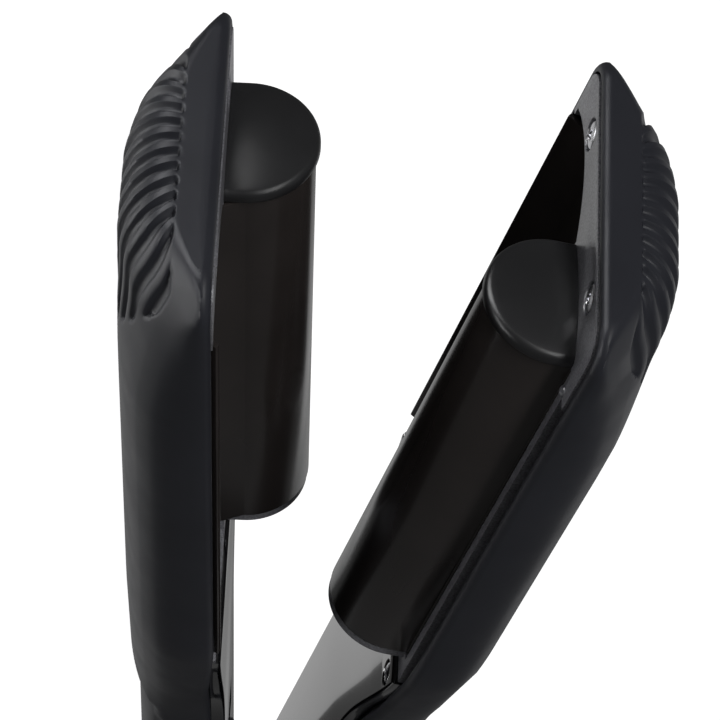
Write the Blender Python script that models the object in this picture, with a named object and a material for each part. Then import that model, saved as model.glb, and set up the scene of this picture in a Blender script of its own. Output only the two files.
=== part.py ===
"""Two-arm deep-wave hair iron: a sprung clamp whose arms each carry a half barrel and a channel.

Frame: +X towards the tips, +Y to the near side, +Z up. The tool lies on the back of its lower arm
with its jaws open, and the origin is under the middle of its box.

Each arm is modelled in its own arm frame in millimetres: u along the arm with 0 at the barrel's
handle end, v across the arm, n out of the arm's inner face. The upper arm is the lower arm turned
half a turn about its length and opened about the hinge.
"""
import bpy
import bmesh
from math import asin, cos, pi, radians, sin, sqrt
from mathutils import Matrix, Vector

MM = 0.001

# driving dimensions, in millimetres and degrees
OPEN_ANGLE = 14.7        # between the inner faces at rest
FACE_HALF_GAP = 3.7      # half the distance between the inner faces when the jaws are closed
HINGE_BACK = 122.0       # hinge axis behind the barrel's handle end
TAIL = 20.0              # end of the lower shell behind the hinge axis
PLATE_LENGTH = 104.0
TIP_MARGIN = 17.4        # from the plate's end to the tip
HEAD_HALF_WIDTH = 35.5
HANDLE_HALF_WIDTH = 19.5
HEAD_DEPTH = 18.6        # from the inner face to the back
HANDLE_DEPTH = 17.2
TIP_DEPTH = 8.0          # height of the flat wall at the tip
TIP_CORNER = 8.0
TIP_ROUNDING = 16.0      # length over which the back curves up to the tip wall
SECTION_POWER = 2.7      # squareness of the cross-section
TIP_POWER = 2.0          # and at the tip
SECTION_CROWN = 1.035    # fullness that makes the back's middle flat
WALL = 2.2
GAP = 0.3                # between pieces that touch

BARREL_RADIUS = 12.7
BARREL_RISE = 3.9       # straight side below the half barrel
BARREL_V = -13.9         # barrel axis across the arm
CHANNEL_V = 13.9         # channel axis, where the other arm's barrel nests
CHANNEL_RADIUS = 13.9
CHANNEL_AXIS = 2 * FACE_HALF_GAP - BARREL_RISE
PLATE_THICKNESS = 1.2
PLATE_BARREL_EDGE = -27.6
PLATE_CHANNEL_EDGE = 31.9
CHANNEL_FLARE = 30.8     # the channel's outer side slopes out to here
CHANNEL_TURN = 0.65      # angle above straight down where that slope starts, short of half a right angle
CAP_RADIUS = 13.5
CAP_RIM = 1.2
CAP_BULGE = 3.0
CAP_TURN = 6.0           # how far the cap's dome draws in
FRAME_THICKNESS = 3.0
FRAME_BACK = -5.4        # handle end of the plate frame
CHANNEL_END_WALL = -3.6  # wall that closes the channel's handle end
RAIL_OUTER = -30.3       # outer side of the frame's rail beside the barrel
PAD_FOOT = 99.0          # the end pad's foot beside the barrel reaches back to here
PAD_ARC_HALF = 15.75     # half the width of the end pad's arc
PAD_ARC_END = 2.4        # the arc starts here, beyond the plate's end
PAD_ARC_DEEP = 6.8       # and reaches this far at its middle
SKIRT_DEPTH = 13.0
SCREW_TIP_U = 10.2
SCREW_TIP_V = (-18.4, 19.2)
SCREW_HOLE = 1.65
SCREW_SEAT = -1.3        # level of the pockets' floors
TIP_POCKET = 3.1
COVER_POCKET = 2.7
CROSS = 1.5              # reach, half width and depth of a screw's cross recess
CROSS_SLOT = 0.33
CROSS_DEPTH = 0.55

HEATER_LEVEL = 8.7       # underside of the heating element
HEATER_THICKNESS = 3.0
HEATER_HALF_WIDTH = 8.0
HEATER_INSET = 15.0      # from each end of the plate
CLIP_INSET = 30.0
SENSOR_U = 20.0
SENSOR_DROP = 2.6        # below the heating element

COVER_THICKNESS = 2.0
COVER_FRONT = FRAME_BACK - GAP
COVER_BACK = -HINGE_BACK + 9.9      # short of the hinge's cheeks
COVER_SCREW = (-11.0, -25.0, 0.0)
BUTTON_RADIUS = 3.9
BUTTON_PROUD = 0.8
BUTTON_FLANGE = 4.6
BUTTON_U = {"power_button": -85.5, "plus_button": -95.2, "minus_button": -104.9}
WINDOW_U = (-80.0, -70.0)
WINDOW_HALF_WIDTH = 6.0
PANE_LEVELS = (-1.6, -0.1)
BOARD_U = (-110.0, -62.0)
BOARD_HALF_WIDTH = 12.0
BOARD_LEVEL = -7.0
BOARD_THICKNESS = 1.6

# each shell's rear end: place, length of its rounding, depth and half width left at the very end
REAR = {"lower_": (-HINGE_BACK - TAIL, 7.0, 14.6, 15.0),
        "upper_": (-HINGE_BACK + 2.0, 20.0, 4.8, 19.0)}

PIN_RADIUS = 2.0
PIN_HOLE = 2.35
CHEEK_RADIUS = 9.5
CHEEK_INNER = 15.4
CHEEK_OUTER = 19.2
DRUM_RADIUS = 8.2
DRUM_BORE = 6.2
DRUM_HALF_WIDTH = 15.0
DRUM_END_WALL = 3.0
SPRING_RADIUS = 4.3
SPRING_WIRE = 0.7
SPRING_TURNS = 6
SPRING_HALF_WIDTH = 7.5
SPRING_LEG = 12.2         # leg ends, from the hinge axis
SPRING_LEG_ANGLE = 13.6   # between each leg and its arm's inner face
SPRING_SLOT = (0.7, 9.8)  # levels of the drum's slot for the legs
CAP_DISC = 5.2            # radius of the pin's caps

SWIVEL_LEVEL = -8.2
SWIVEL_RADIUS = 5.0
SWIVEL_FLANGE = 5.9
SWIVEL_HOLE = 3.1
SWIVEL_LENGTH = 10.0

TIP = PLATE_LENGTH + TIP_MARGIN
CENTRE_X = (TIP - HINGE_BACK - TAIL - SWIVEL_LENGTH) / 2

MATERIALS = {
    "soft_touch_black": ((0.022, 0.022, 0.025), 0.62, 0.0),
    "textured_black": ((0.020, 0.020, 0.023), 0.50, 0.0),
    "ceramic_black": ((0.010, 0.009, 0.009), 0.10, 0.0),
    "gloss_black": ((0.008, 0.008, 0.009), 0.06, 0.0),
    "cap_black": ((0.014, 0.014, 0.015), 0.45, 0.0),
    "steel": ((0.60, 0.60, 0.62), 0.28, 1.0),
    "spring_steel": ((0.42, 0.42, 0.44), 0.35, 1.0),
    "button_grey": ((0.10, 0.10, 0.11), 0.40, 0.0),
    "board_green": ((0.02, 0.12, 0.05), 0.45, 0.0),
    "heater_white": ((0.70, 0.68, 0.62), 0.55, 0.0),
}


# ---------------------------------------------------------------- frames and materials

def lower_frame():
    """Arm frame of the lower arm, in world metres."""
    return Matrix.Scale(MM, 4) @ Matrix.Translation((-CENTRE_X, 0, HEAD_DEPTH))


def upper_frame():
    """Arm frame of the upper arm, opened about the hinge."""
    hinge = Matrix.Translation((-HINGE_BACK, 0, FACE_HALF_GAP))
    swing = hinge @ Matrix.Rotation(-radians(OPEN_ANGLE), 4, "Y") @ hinge.inverted()
    turn = Matrix.Translation((0, 0, 2 * FACE_HALF_GAP)) @ Matrix.Rotation(pi, 4, "X")
    return lower_frame() @ swing @ turn


def material(name):
    """One Principled material for each entry of MATERIALS."""
    found = bpy.data.materials.get(name)
    if found:
        return found
    colour, roughness, metallic = MATERIALS[name]
    made = bpy.data.materials.new(name)
    made.use_nodes = True
    made.diffuse_color = (*colour, 1)
    shader = made.node_tree.nodes["Principled BSDF"]
    shader.inputs["Base Color"].default_value = (*colour, 1)
    shader.inputs["Roughness"].default_value = roughness
    shader.inputs["Metallic"].default_value = metallic
    return made


# ---------------------------------------------------------------- modelling helpers

def add_object(name, bm, frame, finish, pivot=(0, 0, 0), sharp=35):
    """Make an object from arm-frame geometry; its origin goes to pivot, given in the arm frame."""
    bmesh.ops.recalc_face_normals(bm, faces=bm.faces)
    origin = frame @ Vector(pivot)
    place = Matrix.Translation(-origin) @ frame
    bmesh.ops.transform(bm, matrix=place, verts=bm.verts)
    mesh = bpy.data.meshes.new(name)
    bm.to_mesh(mesh)
    bm.free()
    mesh.shade_smooth()
    mesh.set_sharp_from_angle(angle=radians(sharp))
    mesh.materials.append(material(finish))
    made = bpy.data.objects.new(name, mesh)
    made.location = origin
    bpy.context.collection.objects.link(made)
    return made


def cut(target, bm, frame, operation="DIFFERENCE"):
    """Boolean target with arm-frame geometry, which stays as a hidden cutter."""
    number = len(target.modifiers) + 1
    tool = add_object(f"{target.name}_tool_{number}", bm, frame, "steel")
    tool.hide_render = True
    tool.display_type = "WIRE"
    step = target.modifiers.new(f"step_{number}", "BOOLEAN")
    step.operation = operation
    step.solver = "EXACT"
    step.object = tool


def loft(rings):
    """Closed solid through rings of equal length, capped at both ends."""
    bm = bmesh.new()
    loops = [[bm.verts.new(point) for point in ring] for ring in rings]
    count = len(loops[0])
    for lower, upper in zip(loops, loops[1:]):
        for i in range(count):
            j = (i + 1) % count
            bm.faces.new((lower[i], lower[j], upper[j], upper[i]))
    bm.faces.new(loops[0])
    bm.faces.new(reversed(loops[-1]))
    return bm


def slab(outline, low, high):
    """Plan outline of (u, v) points between two levels of n."""
    return loft([[(u, v, n) for u, v in outline] for n in (low, high)])


def block(u, v, n):
    """Box from three (low, high) pairs."""
    return slab([(u[0], v[0]), (u[1], v[0]), (u[1], v[1]), (u[0], v[1])], *n)


def turned(profile, centre, axis, sides=32):
    """Solid of revolution: (radius, distance) points along a U, V or N axis through centre."""
    rings = []
    for radius, along in profile:
        ring = []
        for k in range(sides):
            a = 2 * pi * k / sides
            p, q = radius * cos(a), radius * sin(a)
            offset = {"U": (along, p, q), "V": (p, along, q), "N": (p, q, along)}[axis]
            ring.append([c + o for c, o in zip(centre, offset)])
        rings.append(ring)
    return loft(rings)


def tube(outer, inner, ends, centre, axis, sides=32):
    """Ring-shaped solid between two distances on its axis."""
    low, high = ends
    loops = []
    bm = bmesh.new()
    for radius, along in ((outer, low), (outer, high), (inner, high), (inner, low)):
        loop = []
        for k in range(sides):
            a = 2 * pi * k / sides
            p, q = radius * cos(a), radius * sin(a)
            offset = {"U": (along, p, q), "V": (p, along, q), "N": (p, q, along)}[axis]
            loop.append(bm.verts.new([c + o for c, o in zip(centre, offset)]))
        loops.append(loop)
    for a_loop, b_loop in zip(loops, loops[1:] + loops[:1]):
        for i in range(sides):
            j = (i + 1) % sides
            bm.faces.new((a_loop[i], a_loop[j], b_loop[j], b_loop[i]))
    return bm


def arc(centre, radius, start, end, steps):
    """Points of a circular arc in a plane, angles in radians."""
    return [(centre[0] + radius * cos(start + (end - start) * k / steps),
             centre[1] + radius * sin(start + (end - start) * k / steps)) for k in range(steps + 1)]


def smoothstep(low, high, value):
    t = min(max((value - low) / (high - low), 0.0), 1.0)
    return t * t * (3 - 2 * t)


# ---------------------------------------------------------------- the arm's outer form

def rounding(distance, length):
    """Share of the full size at a distance from a rounded end: 0 at the end, 1 beyond length."""
    t = 1 - min(max(distance / length, 0.0), 1.0)
    return sqrt(1 - t * t)


def half_width(u, arm="lower_"):
    """Half the shell's width at u: the handle, the flare to the head, and the rounded ends."""
    width = HANDLE_HALF_WIDTH + (HEAD_HALF_WIDTH - HANDLE_HALF_WIDTH) * smoothstep(-52, 8, u)
    width -= TIP_CORNER * (1 - rounding(TIP - u, TIP_CORNER))
    place, length, _, rear_width = REAR[arm]
    return width - (HANDLE_HALF_WIDTH - rear_width) * (1 - rounding(u - place, length))


def depth(u, arm="lower_"):
    """Depth of the shell behind the inner face at u."""
    full = HANDLE_DEPTH + (HEAD_DEPTH - HANDLE_DEPTH) * smoothstep(-34, -28, u)
    full -= (HEAD_DEPTH - TIP_DEPTH) * (1 - rounding(TIP - u, TIP_ROUNDING))
    place, length, rear_depth, _ = REAR[arm]
    return full - (HANDLE_DEPTH - rear_depth) * (1 - rounding(u - place, length))


def section_power(u):
    """Squareness of the cross-section at u: rounder towards the tip."""
    return SECTION_POWER - (SECTION_POWER - TIP_POWER) * smoothstep(TIP - 45, TIP - 12, u)


def section(u, inset, top, arm="lower_", steps=14):
    """Cross-section at u: a rounded tray, flat on its back, inset from the outer form."""
    wide, deep = half_width(u, arm) - inset, depth(u, arm) - inset
    power = section_power(u)
    ledge = min(FRAME_THICKNESS + 0.4, deep) if inset else 0.0
    ring = [(u, -wide, top)]
    for k in range(steps + 1):
        a = pi * k / steps
        v = -wide * abs(cos(a)) ** (2 / power) * (1 if cos(a) > 0 else -1)
        n = -deep * SECTION_CROWN * abs(sin(a)) ** (2 / power)
        ring.append((u, v, min(max(n, -deep), -ledge) - 0.001 * (0 < k < steps)))
    ring.append((u, wide, top))
    return ring


def stations(start, end, arm="lower_"):
    """Section places along the arm, closer together where the outline turns."""
    turns = [1 - cos(a) for a in (0.25, 0.5, 0.75, 1.0, 1.28, pi / 2)]
    place, length, _, _ = REAR[arm]
    places = [place + length * f for f in turns]
    places += [-52, -44, -34, -31, -28, -20, -12, -4, 8, 40]
    places += [TIP - TIP_ROUNDING * f for f in turns[::-1]]
    places += [TIP - TIP_CORNER * f for f in (0.6, 0.3, 0.03)]
    return [start] + sorted(u for u in places if start + 0.4 < u < end - 0.2) + [end]


def make_shell(arm, frame):
    """Outer shell: the full form less a cavity that is open at the inner face."""
    start = REAR[arm][0]
    body = loft([section(u, 0.0, 0.0, arm) for u in stations(start, TIP, arm)])
    shell = add_object(f"{arm}shell", body, frame, "soft_touch_black")
    places = stations(start + WALL, TIP - WALL, arm)
    cut(shell, loft([section(u, WALL, 2.0, arm) for u in places]), frame)
    return shell


# ---------------------------------------------------------------- pieces that both arms have

def pad_arc(margin=0.0, steps=12):
    """Arc of the end pad over the channel, as (u, v) points from -v to +v."""
    half = PAD_ARC_HALF + margin
    sagitta = PAD_ARC_DEEP - PAD_ARC_END
    radius = (half ** 2 + sagitta ** 2) / (2 * sagitta)
    middle = PLATE_LENGTH + PAD_ARC_DEEP + margin - radius
    spread = asin(half / radius)
    centre = (middle, PAD_ARC_HALF)
    return arc(centre, radius, -spread, spread, steps)


def make_plate_frame(prefix, frame):
    """Carrier of the heater plate: a rail, an end pad, an arc skirt and walls at the handle end."""
    front = TIP - WALL - GAP
    outline = [(FRAME_BACK, RAIL_OUTER), (PAD_FOOT, RAIL_OUTER), (PAD_FOOT, -HEAD_HALF_WIDTH),
               (front, -HEAD_HALF_WIDTH), (front, HEAD_HALF_WIDTH), (FRAME_BACK, HEAD_HALF_WIDTH)]
    carrier = add_object(f"{prefix}plate_frame", slab(outline, -FRAME_THICKNESS, 0), frame, "textured_black")
    skirt = pad_arc(1.4) + pad_arc(0.4)[::-1]
    cut(carrier, slab(skirt, -SKIRT_DEPTH, -0.5), frame, "UNION")
    channel_end = (CHANNEL_V - CHANNEL_RADIUS - 1, CHANNEL_V + CHANNEL_RADIUS + 1)
    low, high = FRAME_BACK + 0.2, CHANNEL_END_WALL
    cut(carrier, block((low, high), channel_end, (-SKIRT_DEPTH + 1, -0.5)), frame, "UNION")
    room = loft([section(u, WALL + 2 * GAP, 0.5) for u in stations(FRAME_BACK - 1, front)])
    cut(carrier, room, frame, "INTERSECT")
    cheek = barrel_outline(BARREL_RADIUS - GAP, -1.0)
    cut(carrier, loft([[(u, v, n) for v, n in cheek] for u in (-2.2, -0.4)]), frame, "UNION")
    start, end = -GAP, PLATE_LENGTH + GAP
    edge, outside = PLATE_BARREL_EDGE - GAP, HEAD_HALF_WIDTH + 1
    barrel_side = [(start, 0.3), (end, 0.3), (end, edge), (start, edge)]
    across = high + 0.2
    channel_side = [(across, 0.12), (end, 0.12)] + pad_arc()
    channel_side += [(end, 2 * PAD_ARC_HALF), (end, outside), (across, outside)]
    cut(carrier, slab(barrel_side, -FRAME_THICKNESS - 1, 0.2), frame)
    cut(carrier, slab(channel_side, -FRAME_THICKNESS - 1, 0.2), frame)
    for v in SCREW_TIP_V:
        hole = turned([(SCREW_HOLE, -4), (SCREW_HOLE, SCREW_SEAT), (TIP_POCKET, SCREW_SEAT), (TIP_POCKET, 1)],
                      (PLATE_LENGTH + SCREW_TIP_U, v, 0), "N", 20)
        cut(carrier, hole, frame)
    return carrier


def barrel_outline(radius, base):
    """Half barrel on straight sides, as (v, n) points."""
    points = [(BARREL_V - radius, base)]
    points += arc((BARREL_V, BARREL_RISE), radius, pi, 0, 20)
    return points + [(BARREL_V + radius, base)]


def plate_path():
    """Middle line of the heater plate's section from -v to +v: flange, barrel, channel, flange."""
    middle = PLATE_THICKNESS / 2
    path = [(PLATE_BARREL_EDGE, -middle), (BARREL_V - BARREL_RADIUS + middle, -middle)]
    path += arc((BARREL_V, BARREL_RISE), BARREL_RADIUS - middle, pi, 0, 24)
    radius = CHANNEL_RADIUS + middle
    start = asin((CHANNEL_AXIS + middle) / radius)
    path += arc((CHANNEL_V, CHANNEL_AXIS), radius, -pi + start, -CHANNEL_TURN, 20)
    return path + [(CHANNEL_FLARE, -1.2), (PLATE_CHANNEL_EDGE, -middle)]


def make_heater_plate(prefix, frame):
    """Ceramic-coated plate: a sheet bent into a half barrel beside a channel."""
    path = [Vector(p) for p in plate_path()]
    sides = ([], [])
    for i, point in enumerate(path):
        before, after = path[max(i - 1, 0)], path[min(i + 1, len(path) - 1)]
        entering = (point - before).normalized() if i else (after - point).normalized()
        leaving = (after - point).normalized() if after != point else entering
        tangent = (entering + leaving).normalized()
        reach = PLATE_THICKNESS / 2 / max(tangent.dot(entering), 0.6)
        normal = Vector((-tangent.y, tangent.x)) * reach
        sides[0].append(point + normal)
        sides[1].append(point - normal)
    ring = sides[0] + sides[1][::-1]
    body = loft([[(u, v, n) for v, n in ring] for u in (0, PLATE_LENGTH)])
    return add_object(f"{prefix}heater_plate", body, frame, "ceramic_black")


def make_barrel_cap(prefix, frame):
    """Domed cap over the barrel's tip end."""
    start = PLATE_LENGTH + GAP
    rings = []
    profile = [(0, 0)] + [(CAP_RIM + CAP_BULGE * sin(a), CAP_TURN * (1 - cos(a)))
                          for a in (0, 0.35, 0.7, 1.05, 1.35)]
    for along, inset in profile:
        radius = CAP_RADIUS - inset
        outline = barrel_outline(radius, GAP)
        rings.append([(start + along, v, n) for v, n in outline])
    return add_object(f"{prefix}barrel_cap", loft(rings), frame, "cap_black")


def make_screw(name, frame, u, v, head=2.8, length=7.5):
    """Cross-head screw standing in the face, with a cross recess."""
    profile = [(1.3, -length), (1.3, -1.0), (head, -1.0), (head, -0.2), (head * 0.82, 0.25)]
    screw = add_object(name, turned(profile, (u, v, 0), "N", 20), frame, "steel")
    cross = []
    for c, s in ((1, 0), (0, 1), (-1, 0), (0, -1)):
        for x, y in ((CROSS, -CROSS_SLOT), (CROSS, CROSS_SLOT), (CROSS_SLOT, CROSS_SLOT)):
            cross.append((u + x * c - y * s, v + x * s + y * c))
    cut(screw, slab(cross, -CROSS_DEPTH, 1), frame)
    return screw


def make_heater(prefix, frame):
    """Heating element inside the barrel, the clip that presses it up, and its safety part."""
    along = (HEATER_INSET, PLATE_LENGTH - HEATER_INSET)
    across = (BARREL_V - HEATER_HALF_WIDTH, BARREL_V + HEATER_HALF_WIDTH)
    levels = (HEATER_LEVEL, HEATER_LEVEL + HEATER_THICKNESS)
    add_object(f"{prefix}ptc_heater", block(along, across, levels), frame, "heater_white")
    top = HEATER_LEVEL - GAP
    over = [(-9.5, 0.6), (-9.5, 1.6), (-5, 1.6), (-3.4, top), (3.4, top), (5, 1.6), (9.5, 1.6), (9.5, 0.6)]
    under = [(4.2, 0.6), (2.6, top - 1), (-2.6, top - 1), (-4.2, 0.6)]
    clip = [(BARREL_V + v, n) for v, n in over + under]
    body = loft([[(u, v, n) for v, n in clip] for u in (CLIP_INSET, PLATE_LENGTH - CLIP_INSET)])
    add_object(f"{prefix}heater_clip", body, frame, "spring_steel")
    place = (SENSOR_U, BARREL_V, HEATER_LEVEL - SENSOR_DROP)
    fuse = turned([(0.6, -9), (2.0, -7), (2.0, 7), (0.6, 9)], place, "U", 16)
    name = "lower_temperature_sensor" if prefix == "lower_" else "upper_thermal_fuse"
    add_object(name, fuse, frame, "steel")


def make_inner_cover(prefix, frame):
    """Glossy cover over the handle's inner side."""
    edge = [(u, half_width(u) - WALL - 2 * GAP) for u in stations(COVER_BACK, COVER_FRONT)]
    outline = edge + [(u, -v) for u, v in edge[::-1]]
    cover = add_object(f"{prefix}inner_cover", slab(outline, -COVER_THICKNESS, 0), frame, "gloss_black")
    seat = SCREW_SEAT + 0.2
    profile = [(SCREW_HOLE, -4), (SCREW_HOLE, seat), (COVER_POCKET, seat), (COVER_POCKET, 1)]
    hole = turned(profile, COVER_SCREW, "N", 20)
    cut(cover, hole, frame)
    make_screw(f"{prefix}cover_screw", frame, *COVER_SCREW[:2], head=2.4, length=6.5)
    return cover


# ---------------------------------------------------------------- hinge, controls and swivel

def make_lower_shell(frame):
    """Lower shell with the hinge's cheeks and the swivel's hole."""
    shell = make_shell("lower_", frame)
    axis = (-HINGE_BACK, 0, FACE_HALF_GAP)
    for side in (-1, 1):
        low, high = sorted((side * CHEEK_INNER, side * CHEEK_OUTER))
        cheek = turned([(CHEEK_RADIUS, low), (CHEEK_RADIUS, high)], axis, "V", 40)
        cut(shell, cheek, frame, "UNION")
    cut(shell, turned([(PIN_HOLE, -30), (PIN_HOLE, 30)], axis, "V", 24), frame)
    mouth = (-HINGE_BACK - TAIL, 0, SWIVEL_LEVEL)
    cut(shell, turned([(SWIVEL_RADIUS + GAP, -5), (SWIVEL_RADIUS + GAP, 5)], mouth, "U", 28), frame)
    return shell


def make_upper_shell(frame):
    """Upper shell: its rear runs down to a drum that turns between the lower shell's cheeks."""
    shell = make_shell("upper_", frame)
    axis = (-HINGE_BACK, 0, FACE_HALF_GAP)
    drum = turned([(DRUM_RADIUS, -DRUM_HALF_WIDTH), (DRUM_RADIUS, DRUM_HALF_WIDTH)], axis, "V", 40)
    cut(shell, drum, frame, "UNION")
    for side in (-1, 1):
        ends = sorted((side * (DRUM_HALF_WIDTH + 0.05), side * 30))
        room = turned([(CHEEK_RADIUS + 0.5, end) for end in ends], axis, "V", 48)
        cut(shell, room, frame)
    bore = DRUM_HALF_WIDTH - DRUM_END_WALL
    cut(shell, turned([(DRUM_BORE, -bore), (DRUM_BORE, bore)], axis, "V", 32), frame)
    slot = block((-HINGE_BACK, -HINGE_BACK + 9), (2 - bore, bore - 2), SPRING_SLOT)
    cut(shell, slot, frame)
    cut(shell, turned([(PIN_HOLE, -30), (PIN_HOLE, 30)], axis, "V", 24), frame)
    return shell


def make_hinge(frame):
    """Pin, its two caps and the torsion spring in the drum."""
    axis = (-HINGE_BACK, 0, FACE_HALF_GAP)
    pin_end = CHEEK_OUTER - 0.6
    pin = turned([(PIN_RADIUS, -pin_end), (PIN_RADIUS, pin_end)], axis, "V", 24)
    add_object("hinge_pin", pin, frame, "steel", pivot=axis)
    for label, side in (("near", 1), ("far", -1)):
        face = side * (CHEEK_OUTER + GAP)
        ends = ((CAP_DISC, 0.0), (CAP_DISC, 0.5), (CAP_DISC - 1, 1.0))
        cap = turned([(radius, face + side * out) for radius, out in ends], axis, "V", 28)
        add_object(f"hinge_cap_{label}", cap, frame, "soft_touch_black", pivot=axis)
    curve = bpy.data.curves.new("hinge_spring", "CURVE")
    curve.dimensions = "3D"
    curve.bevel_depth = SPRING_WIRE * MM
    curve.bevel_resolution = 1
    curve.use_fill_caps = True
    open_leg, fixed_leg = radians(SPRING_LEG_ANGLE + OPEN_ANGLE), -radians(SPRING_LEG_ANGLE)
    turn = 2 * pi * SPRING_TURNS + open_leg - fixed_leg
    steps = SPRING_TURNS * 18
    coil = [(SPRING_RADIUS, fixed_leg + turn * k / steps, 2 * k / steps - 1) for k in range(steps + 1)]
    legs = [(SPRING_LEG, fixed_leg, -1), (SPRING_LEG / 2, fixed_leg, -1)], [
        (SPRING_LEG / 2, open_leg, 1), (SPRING_LEG, open_leg, 1)]
    points = [(axis[0] + r * cos(a), side * SPRING_HALF_WIDTH, axis[2] + r * sin(a))
              for r, a, side in legs[0] + coil + legs[1]]
    spline = curve.splines.new("POLY")
    spline.points.add(len(points) - 1)
    for spot, point in zip(spline.points, points):
        spot.co = (*(frame @ Vector(point)), 1)
    spring = bpy.data.objects.new("hinge_spring", curve)
    curve.materials.append(material("spring_steel"))
    bpy.context.collection.objects.link(spring)


def make_controls(frame, cover):
    """Control board, display window and three push buttons in the lower inner cover."""
    wide = BOARD_HALF_WIDTH
    board = block(BOARD_U, (-wide, wide), (BOARD_LEVEL - BOARD_THICKNESS, BOARD_LEVEL))
    add_object("control_board", board, frame, "board_green")
    low, high = WINDOW_U
    across = (-WINDOW_HALF_WIDTH, WINDOW_HALF_WIDTH)
    cut(cover, block((low, high), across, (-5, 1)), frame)
    inner = WINDOW_HALF_WIDTH - GAP
    pane = block((low + GAP, high - GAP), (-inner, inner), PANE_LEVELS)
    add_object("display_window", pane, frame, "gloss_black")
    for name, u in BUTTON_U.items():
        hole = turned([(BUTTON_RADIUS + GAP, -5), (BUTTON_RADIUS + GAP, 1)], (u, 0, 0), "N", 28)
        cut(cover, hole, frame)
        profile = [(BUTTON_FLANGE, -4.0), (BUTTON_FLANGE, -2.4), (BUTTON_RADIUS, -2.4), (BUTTON_RADIUS, 0.4),
                   (BUTTON_RADIUS - 0.5, BUTTON_PROUD)]
        button = turned(profile, (u, 0, 0), "N", 28)
        add_object(name, button, frame, "button_grey", pivot=(u, 0, BUTTON_PROUD))


def make_tail(frame):
    """Cover behind the hinge, the cord swivel and the ring that retains it."""
    end = -HINGE_BACK - TAIL
    wide = half_width(end) - WALL - 2 * GAP
    behind, inner = -HINGE_BACK - CHEEK_RADIUS - 2 * GAP, CHEEK_INNER - 2 * GAP
    near_drum = -HINGE_BACK - DRUM_RADIUS - 2 * GAP
    edge = [(end + WALL + GAP, wide), (behind, wide), (behind, inner), (near_drum, inner)]
    outline = edge + [(u, -v) for u, v in edge[::-1]]
    add_object("tail_cover", slab(outline, -COVER_THICKNESS, 0), frame, "soft_touch_black")
    mouth = (end, 0, SWIVEL_LEVEL)
    inside = WALL + GAP
    swivel = turned([(SWIVEL_FLANGE, inside + 2.0), (SWIVEL_FLANGE, inside), (SWIVEL_RADIUS, inside),
                     (SWIVEL_RADIUS, -3.0), (4.5, -SWIVEL_LENGTH)], mouth, "U", 28)
    made = add_object("cord_swivel", swivel, frame, "soft_touch_black", pivot=mouth)
    bore = turned([(SWIVEL_HOLE, -SWIVEL_LENGTH - 2), (SWIVEL_HOLE, 9)], mouth, "U", 24)
    cut(made, bore, frame)
    ring = tube(SWIVEL_FLANGE, SWIVEL_HOLE + 1, (inside + 2.4, inside + 4.2), mouth, "U", 28)
    add_object("swivel_retainer", ring, frame, "spring_steel")


def main():
    for old in list(bpy.data.objects):
        bpy.data.objects.remove(old, do_unlink=True)
    lower, upper = lower_frame(), upper_frame()
    make_lower_shell(lower)
    make_upper_shell(upper)
    covers = {}
    for prefix, frame in (("lower_", lower), ("upper_", upper)):
        make_plate_frame(prefix, frame)
        make_heater_plate(prefix, frame)
        make_barrel_cap(prefix, frame)
        make_heater(prefix, frame)
        covers[prefix] = make_inner_cover(prefix, frame)
        labels = ("far", "near") if prefix == "lower_" else ("near", "far")
        for label, v in zip(labels, SCREW_TIP_V):
            make_screw(f"{prefix}tip_screw_{label}", frame, PLATE_LENGTH + SCREW_TIP_U, v)
    make_hinge(lower)
    make_controls(lower, covers["lower_"])
    make_tail(lower)


main()
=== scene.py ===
"""Looks of a two-arm deep-wave hair iron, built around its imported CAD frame.

Pieces are modelled in each arm's own frame in millimetres, as the CAD does: u along the arm with 0
at the barrel's handle end, v across it, n out of its inner face. Both frames come from the CAD
nodes' boxes and the hinge's open angle.
"""
from math import asin, cos, pi, radians, sin, sqrt

import bmesh
import bpy
from mathutils import Matrix, Vector


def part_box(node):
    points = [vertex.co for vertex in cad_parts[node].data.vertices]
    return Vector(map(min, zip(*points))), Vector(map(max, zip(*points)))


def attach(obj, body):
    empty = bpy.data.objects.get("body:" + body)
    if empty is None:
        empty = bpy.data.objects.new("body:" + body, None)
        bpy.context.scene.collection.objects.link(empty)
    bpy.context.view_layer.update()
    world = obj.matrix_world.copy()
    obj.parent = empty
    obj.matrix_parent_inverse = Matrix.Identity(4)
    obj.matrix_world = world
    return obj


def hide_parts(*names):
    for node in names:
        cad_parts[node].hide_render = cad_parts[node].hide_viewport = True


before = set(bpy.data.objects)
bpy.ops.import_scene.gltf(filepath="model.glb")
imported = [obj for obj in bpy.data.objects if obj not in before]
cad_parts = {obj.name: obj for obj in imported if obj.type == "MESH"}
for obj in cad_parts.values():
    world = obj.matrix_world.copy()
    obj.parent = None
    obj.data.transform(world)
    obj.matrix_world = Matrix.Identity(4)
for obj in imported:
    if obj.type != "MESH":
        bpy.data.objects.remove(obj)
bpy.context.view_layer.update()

MM = 0.001
PLATE_LOW, PLATE_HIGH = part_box("lower_heater_plate")
SHELL_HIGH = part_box("lower_shell")[1]
REAR_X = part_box("lower_shell")[0].x
FACE_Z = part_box("lower_inner_cover")[1].z
PIN = (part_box("hinge_pin")[0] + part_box("hinge_pin")[1]) / 2
OPEN_ANGLE = 14.7                                  # degrees between the arms' inner faces at rest

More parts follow.
